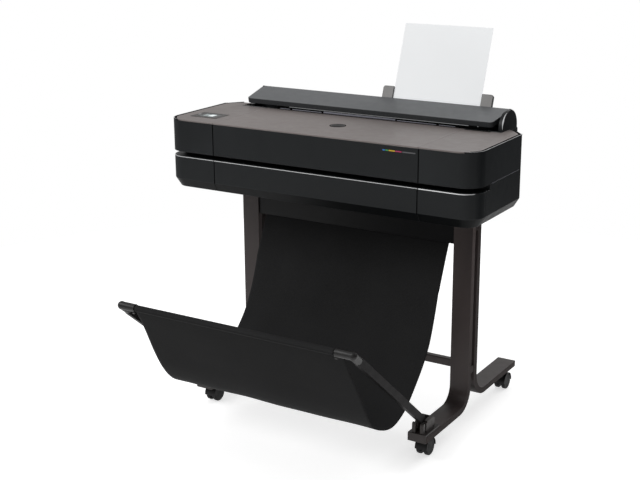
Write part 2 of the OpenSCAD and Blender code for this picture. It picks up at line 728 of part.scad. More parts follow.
base_shell();
lower_front_cover();
lower_cover_left();
ink_door();
upper_cover_left();
upper_cover_right();
window_front();
window_top();
lid_ends();
display_bezel();
display_screen();
power_button();
rear_housing();
rear_tray();
roll_cover();
end_arches();
power_inlet();
sheet_guide_left();
sheet_guide_right();
paper_sheet();
roll_spindle();
paper_roll();
side_frames();
carriage_rail();
guide_rod();
carriage();
drive_belt();
drive_pulley();
idler_pulley();
motors();
platen();
feed_roller();
pinch_rollers();
cutter();
ink_cartridges();
leg_front_left();
leg_front_right();
leg_rear_left();
leg_rear_right();
leg_spacers();
cross_brace();
header_beam();
stand_plates();
stand_bolts();
arm_socket_left();
arm_socket_right();
color(black) placed() caster_hood(-1, front_swivel_y, front_foot_z, front_foot_top - 1);  // caster_hood_front_left
color(black) placed() caster_hood(1, front_swivel_y, front_foot_z, front_foot_top - 1);  // caster_hood_front_right
color(black) placed() caster_hood(-1, rear_swivel_y, rear_foot_z, rear_foot_top - 3);  // caster_hood_rear_left
color(black) placed() caster_hood(1, rear_swivel_y, rear_foot_z, rear_foot_top - 3);  // caster_hood_rear_right
color(black) placed() caster_wheels(-1, front_swivel_y);  // caster_wheels_front_left
color(black) placed() caster_wheels(1, front_swivel_y);  // caster_wheels_front_right
color(black) placed() caster_wheels(-1, rear_swivel_y);  // caster_wheels_rear_left
color(black) placed() caster_wheels(1, rear_swivel_y);  // caster_wheels_rear_right
color(stand_brown) placed() mirror([1, 0, 0]) basket_arm();  // basket_arm_left
color(stand_brown) placed() basket_arm();  // basket_arm_right
basket_bar();
bar_fittings();
basket_cloth_front();
basket_cloth_rear();
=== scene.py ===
"""Looks for a large format plotter on a wheeled stand: materials, edges, basket cloth, details.

Places start from the CAD nodes' boxes, and the offsets from them were read from the photo.
Everything is in metres, with +X to the right, +Y to the rear and +Z up.
"""

import json
import math

import bmesh
import bpy
import numpy as np
from mathutils import Matrix, Vector


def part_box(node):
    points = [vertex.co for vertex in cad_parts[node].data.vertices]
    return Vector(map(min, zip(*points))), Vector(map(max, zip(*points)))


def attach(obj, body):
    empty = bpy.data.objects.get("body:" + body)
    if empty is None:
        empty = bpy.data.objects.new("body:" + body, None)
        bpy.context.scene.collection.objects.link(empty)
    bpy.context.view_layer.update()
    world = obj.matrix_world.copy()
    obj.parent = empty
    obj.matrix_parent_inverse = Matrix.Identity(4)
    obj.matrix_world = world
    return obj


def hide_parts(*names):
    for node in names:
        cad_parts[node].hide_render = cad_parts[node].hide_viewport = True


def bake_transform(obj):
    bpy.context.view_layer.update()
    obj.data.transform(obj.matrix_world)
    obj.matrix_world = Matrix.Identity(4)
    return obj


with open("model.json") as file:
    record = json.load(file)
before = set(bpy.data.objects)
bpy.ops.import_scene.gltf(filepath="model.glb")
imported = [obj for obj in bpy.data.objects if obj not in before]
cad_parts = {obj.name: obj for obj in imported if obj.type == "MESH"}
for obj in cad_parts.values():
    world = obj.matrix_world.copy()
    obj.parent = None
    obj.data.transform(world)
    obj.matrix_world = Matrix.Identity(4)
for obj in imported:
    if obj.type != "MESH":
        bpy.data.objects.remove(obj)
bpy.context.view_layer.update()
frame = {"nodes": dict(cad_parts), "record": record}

record = frame["record"]
BODY_OF = {n: b for b, nodes in record["behaviour"]["bodies"].items() for n in nodes}
SLOT_OF = {s["node"]: s["material_slot"] for s in record["subparts"]}
ROOT = BODY_OF["base_shell"]
LID = BODY_OF["window_top"]

MM = 0.001
FRONT_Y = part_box("lower_front_cover")[0].y
SEAM_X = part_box("lower_front_cover")[1].x
LID_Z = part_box("window_top")[1].z
LID_BACK_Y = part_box("window_top")[1].y
HALF_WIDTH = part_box("base_shell")[1].x
CORNER = 55 * MM  # radius of the body's two front corners
SHARP = math.radians(35)  # edges that turn more than this stay crisp


# ---------------------------------------------------------------- camera

# Fitted to the photo
AZIMUTH = math.radians(31.599)
ELEVATION = math.radians(16.418)
ROLL = math.radians(-0.329)
DISTANCE = 3.282649
FOCUS = Vector((0.093282, FRONT_Y - 0.102917, 0.619520))
LENS_MM = 67.755
SENSOR_MM = 36.0


def make_camera():
    back = Vector((
        math.sin(AZIMUTH) * math.cos(ELEVATION),
        -math.cos(AZIMUTH) * math.cos(ELEVATION),
        math.sin(ELEVATION),
    ))
    level = Vector((math.cos(AZIMUTH), math.sin(AZIMUTH), 0.0))
    upright = back.cross(level)
    right = level * math.cos(ROLL) + upright * math.sin(ROLL)
    up = upright * math.cos(ROLL) - level * math.sin(ROLL)
    data = bpy.data.cameras.new("camera")
    data.lens = LENS_MM
    data.sensor_width = SENSOR_MM
    camera = bpy.data.objects.new("camera", data)
    bpy.context.scene.collection.objects.link(camera)
    camera.location = FOCUS + back * DISTANCE
    camera.rotation_mode = "QUATERNION"
    camera.rotation_quaternion = Matrix((right, up, back)).transposed().to_quaternion()
    bpy.context.scene.camera = camera


make_camera()


# ---------------------------------------------------------------- materials

# Ranges of a surface direction's X or Z, between which a tone or a shine changes.
# TO_THE_RIGHT, DOWNWARD, OVER_THE_TOP and ALONG_FACE_AXIS set where painted shade starts;
# CONVEX sets the edges that are lightened, partly as wear and partly as a painted highlight.
TO_THE_RIGHT = (0.75, 0.92)
DOWNWARD = (-0.45, -0.20)
OVER_THE_TOP = (-0.25, 0.25)
ALONG_FACE_AXIS = (0.70, 0.86)
CONVEX = (0.53, 0.62)

MATERIALS = {}


class Nodes:
    """Short calls for building the node tree of a new material, which MATERIALS keeps."""

    def __init__(self, name, slot_color):
        material = MATERIALS[name] = bpy.data.materials.new(name)
        material.use_nodes = True
        material.diffuse_color = (*slot_color, 1.0)
        self.tree = material.node_tree
        self.shader = self.tree.nodes["Principled BSDF"]
        self.place = self.new("ShaderNodeTexCoord").outputs["Object"]

    def new(self, kind, **settings):
        node = self.tree.nodes.new(kind)
        for key, value in settings.items():
            setattr(node, key, value)
        return node

    def link(self, a, b):
        self.tree.links.new(a, b)

    def noise(self, scale, detail=3.0, rough=0.5, stretch=(1, 1, 1)):
        mapping = self.new("ShaderNodeMapping")
        mapping.inputs["Scale"].default_value = stretch
        self.link(self.place, mapping.inputs["Vector"])
        node = self.new("ShaderNodeTexNoise")
        node.inputs["Scale"].default_value = scale
        node.inputs["Detail"].default_value = detail
        node.inputs["Roughness"].default_value = rough
        self.link(mapping.outputs["Vector"], node.inputs["Vector"])
        return node.outputs["Fac"]

    def remap(self, value, low, high, start=0.3, end=0.7):
        node = self.new("ShaderNodeMapRange")
        node.inputs["From Min"].default_value = start
        node.inputs["From Max"].default_value = end
        node.inputs["To Min"].default_value = low
        node.inputs["To Max"].default_value = high
        self.link(value, node.inputs["Value"])
        return node.outputs["Result"]

    def mix(self, factor, a, b):
        node = self.new("ShaderNodeMix", data_type="RGBA")
        for socket, value in ((node.inputs[0], factor), (node.inputs[6], a), (node.inputs[7], b)):
            if isinstance(value, bpy.types.NodeSocket):
                self.link(value, socket)
            elif isinstance(value, tuple):
                socket.default_value = (*value, 1.0)
            else:
                socket.default_value = value
        return node.outputs[2]

    def times(self, a, b):
        node = self.new("ShaderNodeMath", operation="MULTIPLY")
        self.link(a, node.inputs[0])
        if isinstance(b, bpy.types.NodeSocket):
            self.link(b, node.inputs[1])
        else:
            node.inputs[1].default_value = b
        return node.outputs["Value"]

    def bump(self, height, strength, distance, after=None):
        node = self.new("ShaderNodeBump")
        node.inputs["Strength"].default_value = strength
        node.inputs["Distance"].default_value = distance
        self.link(height, node.inputs["Height"])
        if after is not None:
            self.link(after, node.inputs["Normal"])
        return node.outputs["Normal"]

    def looks(self):
        """X, Y and Z of the direction that the surface looks in, in the object's own axes."""
        split = self.new("ShaderNodeSeparateXYZ")
        self.link(self.new("ShaderNodeTexCoord").outputs["Normal"], split.inputs["Vector"])
        return split.outputs

    def edge_wear_and_highlight(self):
        """1 on convex edges, where handling rubs the surface and a painted highlight lightens it,
        and 0 elsewhere.
        """
        point = self.new("ShaderNodeNewGeometry").outputs["Pointiness"]
        return self.remap(point, 0.0, 1.0, *CONVEX)


def scaled(color, factor):
    return tuple(min(1.0, c * factor) for c in color)


def moulded(name, color, rough, grain=1400.0, grain_strength=0.35, wear_and_highlight=0.25, specular=0.5,
            drift_size=0.07, side=None, face_axis=2, face_sign=1.0, painted_shade_specular=None,
            painted_shade_tone=1.0):
    """Moulded or coated surface: slow colour drift, spark-eroded grain and lightened edges,
    partly rubbed wear and partly a painted highlight.

    With a side colour, only faces that look along the face axis keep the main colour; all
    other faces take the side colour as painted shade. With a painted shade specular level,
    faces that look to the right have that specular level and are darkened to the painted shade
    tone, and faces that look down are darker and duller too, as painted shade. Both follow the
    surface's own direction, never the camera.
    """
    n = Nodes(name, color)
    drift = n.remap(n.noise(5.0, 2.0), 0.0, 1.0)
    base = n.mix(drift, scaled(color, 1 - drift_size), scaled(color, 1 + drift_size))
    # Painted shade: faces that don't look along the face axis take the darker side colour.
    if side is not None:
        along = n.times(n.looks()[face_axis], face_sign)
        base = n.mix(n.remap(along, 0.0, 1.0, *ALONG_FACE_AXIS), side, base)
    fleck = n.remap(n.noise(grain * 0.6, 2.0), 0.0, 1.0, 0.35, 0.65)
    base = n.mix(n.remap(fleck, 0.0, 0.22, 0.0, 1.0), base, scaled(color, 1.5))
    n.shader.inputs["Specular IOR Level"].default_value = specular
    # Painted shade: faces that look down are darkened, and faces that look to the right are
    # darkened and lose shine.
    if painted_shade_specular is not None:
        looks = n.looks()
        base = n.mix(n.remap(looks["Z"], 0.0, 1.0, *DOWNWARD), scaled(color, 0.35), base)
        base = n.mix(n.remap(looks["X"], 1.0, painted_shade_tone, *TO_THE_RIGHT), (0, 0, 0), base)
        shine = n.times(n.remap(looks["X"], specular, painted_shade_specular, *TO_THE_RIGHT),
                        n.remap(looks["Z"], 0.25, 1.0, *DOWNWARD))
        n.link(shine, n.shader.inputs["Specular IOR Level"])
    # Convex edges lighter: partly rubbed wear, partly a painted highlight.
    base = n.mix(n.remap(n.edge_wear_and_highlight(), 0.0, wear_and_highlight, 0.0, 1.0), base, scaled(color, 2.4))
    n.link(base, n.shader.inputs["Base Color"])
    roughness = n.remap(n.noise(38.0, 4.0), rough - 0.04, rough + 0.05)
    n.link(roughness, n.shader.inputs["Roughness"])
    n.link(n.bump(n.noise(grain, 2.0), grain_strength, 0.00006), n.shader.inputs["Normal"])


def brushed(name, color, rough, stretch):
    """Metal drawn or brushed in one direction."""
    n = Nodes(name, color)
    lines = n.noise(220.0, 4.0, 0.6, stretch)
    base = n.mix(n.remap(lines, 0.0, 1.0), scaled(color, 0.85), scaled(color, 1.1))
    n.link(base, n.shader.inputs["Base Color"])
    n.link(n.remap(lines, rough - 0.06, rough + 0.1), n.shader.inputs["Roughness"])
    n.shader.inputs["Metallic"].default_value = 1.0
    n.link(n.bump(lines, 0.2, 0.00005), n.shader.inputs["Normal"])


def rubber(name, color):
    """Dull rubber with a little dust."""
    n = Nodes(name, color)
    dust = n.remap(n.noise(26.0, 5.0, 0.6), 0.0, 0.35, 0.45, 0.75)
    n.link(n.mix(dust, color, scaled(color, 2.6)), n.shader.inputs["Base Color"])
    n.link(n.remap(n.noise(60.0, 3.0), 0.5, 0.72), n.shader.inputs["Roughness"])
    n.link(n.bump(n.noise(700.0, 3.0), 0.3, 0.0001), n.shader.inputs["Normal"])
    n.shader.inputs["Specular IOR Level"].default_value = 0.2


def woven_cloth(name, color):
    """Spun-bonded cloth: a fine embossed lattice, loose fibres, a soft sheen, and painted shade
    that darkens faces looking down, so the inside reads paler.
    """
    n = Nodes(name, color)
    drift = n.remap(n.noise(4.0, 3.0), 0.0, 1.0)
    base = n.mix(drift, scaled(color, 0.86), scaled(color, 1.16))
    fibre = n.remap(n.noise(520.0, 4.0, 0.7, (1.0, 1.0, 0.35)), 0.0, 1.0, 0.38, 0.68)
    base = n.mix(n.remap(fibre, 0.0, 0.5, 0.0, 1.0), base, scaled(color, 1.9))
    # Painted shade: faces that look down are darkened to about two thirds, so the inside, which
    # looks up, stays paler.
    inside = n.remap(n.looks()["Z"], 0.0, 1.0, *OVER_THE_TOP)
    n.link(n.mix(inside, scaled(color, 0.68), base), n.shader.inputs["Base Color"])
    n.link(n.remap(fibre, 0.62, 0.78, 0.0, 1.0), n.shader.inputs["Roughness"])
    n.shader.inputs["Specular IOR Level"].default_value = 0.03
    n.shader.inputs["Sheen Weight"].default_value = 0.015
    n.shader.inputs["Sheen Roughness"].default_value = 0.5
    lattice = n.new("ShaderNodeTexVoronoi", feature="DISTANCE_TO_EDGE")
    lattice.inputs["Scale"].default_value = 420.0
    n.link(n.place, lattice.inputs["Vector"])
    cells = n.remap(lattice.outputs["Distance"], 0.0, 1.0, 0.0, 0.25)
    waves = n.bump(n.noise(22.0, 3.0), 0.25, 0.0016)
    embossed = n.bump(cells, 0.5, 0.00012, waves)
    n.link(n.bump(fibre, 0.3, 0.00008, embossed), n.shader.inputs["Normal"])


def paper(name, color):
    """Plain paper with a faint painted glow, so that it reads as white."""
    n = Nodes(name, color)
    cloud = n.remap(n.noise(14.0, 4.0), 0.0, 1.0)
    n.link(n.mix(cloud, scaled(color, 0.98), color), n.shader.inputs["Base Color"])
    n.shader.inputs["Roughness"].default_value = 0.85
    n.shader.inputs["Specular IOR Level"].default_value = 0.2
    # Painted glow: a faint emission in the paper's own colour.
    n.shader.inputs["Emission Color"].default_value = (*color, 1.0)
    n.shader.inputs["Emission Strength"].default_value = 0.22
    n.link(n.bump(n.noise(900.0, 4.0, 0.7), 0.15, 0.00005), n.shader.inputs["Normal"])


def glowing(name, color, strength):
    """Lit part of the display, with its faint pixel grain."""
    n = Nodes(name, color)
    grain = n.remap(n.noise(1500.0, 1.0), 0.92, 1.0)
    shown = n.mix(grain, scaled(color, 0.9), color)
    n.link(shown, n.shader.inputs["Base Color"])
    n.link(shown, n.shader.inputs["Emission Color"])
    n.shader.inputs["Emission Strength"].default_value = strength
    n.shader.inputs["Roughness"].default_value = 0.2


# Painted shade by face direction: charcoal plastic, arm metal and stand metal on faces looking
# right or down; cover and guide plastic on faces off their face axis.
moulded("charcoal_plastic", (0.0115, 0.0128, 0.0138), 0.40, specular=0.24, painted_shade_specular=0.04)
moulded("taupe_lid", (0.178, 0.156, 0.150), 0.42, grain=1800.0, grain_strength=0.2, wear_and_highlight=0.45,
        specular=0.35, drift_size=0.025)
moulded("grey_plastic", (0.118, 0.123, 0.126), 0.45, specular=0.35)
moulded("cover_plastic", (0.118, 0.123, 0.128), 0.45, specular=0.3, drift_size=0.03,
        side=(0.022, 0.024, 0.026))
moulded("guide_plastic", (0.27, 0.265, 0.26), 0.45, specular=0.3, drift_size=0.03,
        side=(0.02, 0.02, 0.021), face_axis=1, face_sign=-1.0)
moulded("fitting_plastic", (0.010, 0.0095, 0.0095), 0.40, specular=0.35)
moulded("matt_black", (0.003, 0.003, 0.003), 0.9, wear_and_highlight=0.0, specular=0.0)
moulded("bright_painted_highlight", (0.85, 0.86, 0.87), 0.30)
moulded("arm_metal", (0.019, 0.018, 0.0185), 0.45, specular=0.2, painted_shade_specular=0.03, painted_shade_tone=0.8)
moulded("silver_painted_highlight", (0.52, 0.53, 0.54), 0.30)
moulded("black_plastic", (0.0055, 0.0055, 0.006), 0.42, specular=0.2)
moulded("stand_metal", (0.039, 0.0305, 0.0293), 0.42, grain=1000.0, wear_and_highlight=0.6, specular=0.3,
        painted_shade_specular=0.02, painted_shade_tone=0.55)
moulded("stand_plastic", (0.020, 0.0165, 0.0158), 0.48, specular=0.3)
moulded("bezel", (0.030, 0.026, 0.025), 0.35, specular=0.3)
moulded("pale_ledge_and_highlight", (0.14, 0.14, 0.165), 0.35)
moulded("button", (0.30, 0.31, 0.32), 0.3)
brushed("steel", (0.50, 0.51, 0.53), 0.34, (0.05, 1, 1))
rubber("rubber", (0.0045, 0.0045, 0.005))
woven_cloth("cloth", (0.0190, 0.0190, 0.0194))
paper("paper", (0.93, 0.945, 0.955))
glowing("screen", (0.030, 0.036, 0.038), 0.02)
glowing("screen_dark", (0.03, 0.05, 0.06), 0.02)
glowing("screen_grey", (0.30, 0.36, 0.36), 0.10)
glowing("screen_pale", (0.74, 0.80, 0.80), 0.40)
for colour, shade in (("blue", (0.02, 0.18, 0.55)), ("green", (0.05, 0.35, 0.10)),
                      ("yellow", (0.65, 0.42, 0.02)), ("magenta", (0.45, 0.03, 0.12)),
                      ("grey", (0.10, 0.10, 0.105))):
    moulded("stripe_" + colour, shade, 0.35, wear_and_highlight=0.0)

# Nodes whose finish differs in tone from the rest of their slot; the roll cover's, sheet
# guides' and basket arms' finishes also carry painted shade
FINISH = {
    "display_bezel": "bezel",
    "roll_cover": "cover_plastic",
    "sheet_guide_left": "guide_plastic",
    "sheet_guide_right": "guide_plastic",
    "basket_arm_left": "arm_metal",
    "basket_arm_right": "arm_metal",
    "bar_fittings": "fitting_plastic",
}


# ---------------------------------------------------------------- CAD nodes

# Width of the rounded edge, in millimetres, for the nodes that show
EDGE = {
    "base_shell": 1.0, "lower_front_cover": 0.9, "lower_cover_left": 0.9, "ink_door": 0.9,
    "upper_cover_left": 0.8, "upper_cover_right": 0.8, "window_front": 0.8, "window_top": 1.3,
    "lid_ends": 1.3, "rear_housing": 1.2, "rear_tray": 1.0, "roll_cover": 1.4,
    "end_arches": 2.2, "power_inlet": 0.8, "sheet_guide_left": 1.6, "sheet_guide_right": 1.6,
    "roll_spindle": 1.2, "paper_roll": 0.4, "carriage": 2.0, "cutter": 2.0, "motors": 1.5,
    "ink_cartridges": 2.0, "display_bezel": 0.3, "leg_spacers": 2.0, "cross_brace": 3.0,
    "header_beam": 1.0, "stand_plates": 1.5, "stand_bolts": 1.0, "bar_fittings": 1.5,
    "arm_socket_left": 1.6, "arm_socket_right": 1.6, "basket_arm_left": 3.0,
    "basket_arm_right": 3.0,
}
for prefix, width in (("leg_front", 4.5), ("leg_rear", 4.5), ("caster_wheels", 4.0),
                      ("caster_hood", 1.2)):
    EDGE.update({n: width for n in frame["nodes"] if n.startswith(prefix)})

# Nodes whose tiny hidden pins would otherwise limit the rounding of every edge
PINNED = ("ink_door", "window_top", "roll_cover", "lower_front_cover", "base_shell", "lid_ends")


def round_edges(obj, width):
    """Welds the imported facets, joins flat ones and rounds sharp edges, all by modifiers."""
    normals = obj.data.attributes.get("custom_normal")
    if normals is not None:
        obj.data.attributes.remove(normals)
    weld = obj.modifiers.new("weld", "WELD")
    weld.merge_threshold = 0.00001
    flat = obj.modifiers.new("flat", "DECIMATE")
    flat.decimate_type = "DISSOLVE"
    flat.angle_limit = math.radians(0.6)
    bevel = obj.modifiers.new("bevel", "BEVEL")
    bevel.width = width
    bevel.segments = 3
    bevel.limit_method = "ANGLE"
    bevel.angle_limit = math.radians(28)
    bevel.miter_outer = "MITER_ARC"
    bevel.harden_normals = True
    bevel.use_clamp_overlap = obj.name not in PINNED
    obj.data.shade_smooth()


def dress_nodes():
    for name, obj in frame["nodes"].items():
        obj.data.materials.clear()
        obj.data.materials.append(MATERIALS[FINISH.get(name, SLOT_OF[name])])
        if name in EDGE:
            round_edges(obj, EDGE[name] * MM)


dress_nodes()


# ---------------------------------------------------------------- mesh helpers


def show(name, mesh, slot, body, finish):
    """A new piece in its finish if one is named, else in the material of the record's slot."""
    obj = bpy.data.objects.new(name, mesh)
    bpy.context.scene.collection.objects.link(obj)
    mesh.materials.append(MATERIALS[finish or slot])
    if body is not None:
        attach(obj, body)
    return obj


def piece(name, verts, faces, slot, body, finish=None, smooth=True):
    """A piece from its points and faces."""
    mesh = bpy.data.meshes.new(name)
    mesh.from_pydata([tuple(v) for v in verts], [], faces)
    mesh.update()
    if smooth:
        mesh.shade_smooth()
    return show(name, mesh, slot, body, finish)


def turn_faces_out(obj):
    bm = bmesh.new()
    bm.from_mesh(obj.data)
    bmesh.ops.recalc_face_normals(bm, faces=bm.faces)
    bm.to_mesh(obj.data)
    bm.free()


def prism(name, outline, low, high, slot, body, finish=None, edge=0.3 * MM):
    """A plate of that outline in X and Y, between two heights, with rounded edges."""
    bm = bmesh.new()
    face = bm.faces.new([bm.verts.new((x, y, low)) for x, y in outline])
    top = bmesh.ops.extrude_face_region(bm, geom=[face])
    moved = [v for v in top["geom"] if isinstance(v, bmesh.types.BMVert)]
    bmesh.ops.translate(bm, verts=moved, vec=(0, 0, high - low))
    bmesh.ops.recalc_face_normals(bm, faces=bm.faces)
    if edge:
        limit = math.radians(40)
        rims = [e for e in bm.edges if len(e.link_faces) == 2 and e.calc_face_angle() > limit]
        bmesh.ops.bevel(bm, geom=rims, offset=edge, segments=2, affect="EDGES", profile=0.5)
    mesh = bpy.data.meshes.new(name)
    bm.to_mesh(mesh)
    bm.free()
    mesh.shade_smooth()
    mesh.set_sharp_from_angle(angle=SHARP)
    return show(name, mesh, slot, body, finish)


def swept(name, path, outward, section, body, finish, scale=None):
    """A closed bar: a section of (outward, up) points carried along a path.

    The scale stretches the section's height at each point of the path.
    """
    count = len(section)
    scale = scale or [1.0] * len(path)
    verts = [Vector(point) + Vector(out) * a + Vector((0, 0, b * k))
             for point, out, k in zip(path, outward, scale) for a, b in section]
    faces = []
    for i in range(0, (len(path) - 1) * count, count):
        for j in range(count):
            k = (j + 1) % count
            faces.append((i + j, i + k, i + count + k, i + count + j))
    faces.append(tuple(range(count)))
    faces.append(tuple(reversed(range(len(verts) - count, len(verts)))))
    obj = piece(name, verts, faces, "charcoal_plastic", body, finish)
    turn_faces_out(obj)
    obj.data.set_sharp_from_angle(angle=SHARP)


def band(name, stations, finish, smooth=False):
    """A closed strip on the body, through stations of four corners.

    Corners 0 and 1 of a station are its one side, and 2 and 3 the other, in the same order.
    """
    verts = [corner for station in stations for corner in station]
    end = len(verts) - 4
    faces = [(0, 1, 3, 2), (end, end + 2, end + 3, end + 1)]
    for a in range(0, end, 4):
        b = a + 4
        faces += [(a, b, b + 1, a + 1), (a + 2, a + 3, b + 3, b + 2), (a, a + 2, b + 2, b),
                  (a + 1, b + 1, b + 3, a + 3)]
    strip = piece(name, verts, faces, "charcoal_plastic", ROOT, finish, smooth)
    turn_faces_out(strip)
    return strip


def rounded_rectangle(x0, y0, x1, y1, radius, steps=3):
    points = []
    for cx, cy, start in ((x1 - radius, y1 - radius, 0), (x0 + radius, y1 - radius, 90),
                          (x0 + radius, y0 + radius, 180), (x1 - radius, y0 + radius, 270)):
        for i in range(steps + 1):
            a = math.radians(start + 90 * i / steps)
            points.append((cx + radius * math.cos(a), cy + radius * math.sin(a)))
    return points


def disc_outline(x, y, radius, steps=48):
    angles = [2 * math.pi * i / steps for i in range(steps)]
    return [(x + radius * math.cos(a), y + radius * math.sin(a)) for a in angles]


def round_corner(side, inset, angles, z):
    """Points round a front corner, that far inside its outline, and their outward directions."""
    reach = CORNER - inset
    points = [(side * (HALF_WIDTH - CORNER + reach * math.sin(a)),
               FRONT_Y + CORNER - reach * math.cos(a), z) for a in angles]
    return points, [(side * math.sin(a), -math.cos(a), 0) for a in angles]


# ---------------------------------------------------------------- basket cloth

# Side view of the cloth on each side of its lowest part: metres behind the front, and height
CLOTH_FALL = ((0.213, 0.490), (0.186, 0.430), (0.161, 0.360), (0.131, 0.295), (0.098, 0.250),
              (0.060, 0.212), (0.007, 0.170), (-0.040, 0.142))
CLOTH_RISE = ((-0.186, 0.144), (-0.232, 0.170), (-0.269, 0.215), (-0.306, 0.281),
              (-0.338, 0.341), (-0.366, 0.393))
# Half the cloth's width at shares of its length, before it is smoothed
CLOTH_HALF = ((0.0, 0.316), (0.22, 0.316), (0.40, 0.324), (0.52, 0.331), (0.62, 0.332),
              (0.70, 0.338), (0.80, 0.340), (0.90, 0.333), (1.0, 0.333))
CLOTH_ROWS, CLOTH_COLUMNS = 150, 96
CLOTH_THICKNESS = 0.9 * MM
SLEEVE_START = 0.92  # share of the length from which the cloth lies on the bar, uncreased


def middle(node):
    """Y and Z of the middle of a node's box."""
    low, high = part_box(node)
    return (low.y + high.y) / 2, (low.z + high.z) / 2


def smooth_path(points, per_span=8):
    """Points along a Catmull-Rom curve through the given ones, as an array."""
    p = np.array([points[0]] + list(points) + [points[-1]], float)
    out = []
    for i in range(1, len(p) - 2):
        for k in range(per_span):
            t = k / per_span
            out.append(0.5 * ((2 * p[i]) + (p[i + 1] - p[i - 1]) * t
                              + (2 * p[i - 1] - 5 * p[i] + 4 * p[i + 1] - p[i + 2]) * t * t
                              + (3 * p[i] - p[i - 1] - 3 * p[i + 1] + p[i + 2]) * t ** 3))
    out.append(p[-2])
    return np.array(out)


def even_path(path, count):
    """The same path with evenly spaced points, and its length."""
    steps = np.linalg.norm(np.diff(path, axis=0), axis=1)
    length = np.concatenate([[0], np.cumsum(steps)])
    at = np.linspace(0, length[-1], count)
    even = [np.interp(at, length, path[:, k]) for k in range(path.shape[1])]
    return np.stack(even, 1), length[-1]


def cloth_side_view():
    """The cloth's path from the header beam down, up and round the bar, and its length."""
    bar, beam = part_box("basket_bar"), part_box("header_beam")
    bar_y, bar_z = middle("basket_bar")
    sleeve = (bar[1].z - bar[0].z) / 2 + 1.3 * MM
    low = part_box("basket_cloth_front")[0].z - 3.0 * MM
    hem = [(middle("header_beam")[0] + 0.0005, beam[0].z + 0.0015)]
    fall, rise = ([(FRONT_Y + y, z) for y, z in part] for part in (CLOTH_FALL, CLOTH_RISE))
    belly = [(FRONT_Y - 0.098, low), (FRONT_Y - 0.140, low + 0.002)]
    leave = math.radians(-20)
    wrap = [(bar_y + sleeve * math.cos(leave + a), bar_z + sleeve * math.sin(leave + a))
            for a in np.linspace(0, math.radians(250), 14)]
    return even_path(smooth_path(hem + fall + belly + rise + wrap), CLOTH_ROWS)


def cloth_half_width(path):
    """Half the cloth's width in each row, narrowed to fit between the bar's fittings."""
    shares, widths = zip(*CLOTH_HALF)
    half = np.interp(np.linspace(0, 1, CLOTH_ROWS), shares, widths)
    for _ in range(30):
        half[1:-1] = (half[:-2] + 2 * half[1:-1] + half[2:]) / 4
    at_bar = np.clip((path[:, 1] - (middle("basket_bar")[1] - 0.017)) / 0.010, 0, 1)
    return half + (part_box("bar_fittings")[1].x - 0.0627 - half) * at_bar


def cloth_creases(u, s):
    """How far the cloth stands off its path across the row at share s of its length."""
    free = math.sin(math.pi * (s / SLEEVE_START)) ** 0.6 if s < SLEEVE_START else 0.0
    creases = (0.0016 * np.sin(5.1 * u + 9.0 * s + 0.7) + 0.0011 * np.sin(11.3 * u - 17.0 * s)
               + 0.0008 * np.sin(23.0 * u * (1 - s) + 6.0 * s + 2.0))
    return creases * free * (1 - 0.6 * math.exp(-((s - 0.6) / 0.12) ** 2))


def make_cloth():
    """One creased sheet from the header beam to the bar, given its thickness at the end."""
    path, length = cloth_side_view()
    half = cloth_half_width(path)
    tangent = np.gradient(path, axis=0)
    tangent /= np.linalg.norm(tangent, axis=1)[:, None]
    normal = np.stack([-tangent[:, 1], tangent[:, 0]], 1)
    u = np.linspace(-1, 1, CLOTH_COLUMNS)
    verts = np.zeros((CLOTH_ROWS, CLOTH_COLUMNS, 3))
    for i, s in enumerate(np.linspace(0, 1, CLOTH_ROWS)):
        off = cloth_creases(u, s)
        verts[i, :, 0] = u * half[i]
        verts[i, :, 1] = path[i, 0] + normal[i, 0] * off
        verts[i, :, 2] = path[i, 1] + normal[i, 1] * off
    starts = [i * CLOTH_COLUMNS + j for i in range(CLOTH_ROWS - 1)
              for j in range(CLOTH_COLUMNS - 1)]
    faces = [(a, a + 1, a + CLOTH_COLUMNS + 1, a + CLOTH_COLUMNS) for a in starts]
    cloth = piece("basket_cloth", verts.reshape(-1, 3), faces, "cloth", None)
    thick = cloth.modifiers.new("thick", "SOLIDIFY")
    thick.thickness = CLOTH_THICKNESS
    thick.offset = 0.0
    graph = bpy.context.evaluated_depsgraph_get()
    made = bpy.data.meshes.new_from_object(cloth.evaluated_get(graph))
    cloth.modifiers.clear()
    cloth.data = made
    cloth.data.shade_smooth()
    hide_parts("basket_cloth_front", "basket_cloth_rear")
    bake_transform(cloth)


make_cloth()


# ---------------------------------------------------------------- small details


def make_slot_lip_highlight():
    """Painted highlight along the lower covers' top edge, one piece on each cover."""
    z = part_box("lower_front_cover")[1].z
    section = [(0.12 * MM, -1.3 * MM), (0.12 * MM, -0.4 * MM), (-0.3 * MM, 0.12 * MM),
               (-2.2 * MM, 0.12 * MM), (-2.2 * MM, -1.3 * MM)]

    def end_lip_highlight(name, side, sweep, body, finish, scale=None):
        angles = [math.radians(a) for a in np.linspace(0, sweep, 10)]
        points, outward = round_corner(side, 0.0, angles, z)
        start = (side * (SEAM_X + 2.0 * MM), FRONT_Y, z)
        swept(name, [start] + points, [(0, -1, 0)] + outward, section, body, finish, scale)

    reach = SEAM_X - 0.5 * MM
    swept("slot_lip_highlight_centre", [(-reach, FRONT_Y, z), (reach, FRONT_Y, z)], [(0, -1, 0)] * 2,
          section, BODY_OF["lower_front_cover"], "silver_painted_highlight")
    end_lip_highlight("slot_lip_highlight_left", -1, 75, BODY_OF["lower_cover_left"], "silver_painted_highlight")
    tapered = [1.5] * 4 + list(np.linspace(1.4, 0.35, 7))
    end_lip_highlight("slot_lip_highlight_right", 1, 50, BODY_OF["ink_door"], "bright_painted_highlight", tapered)


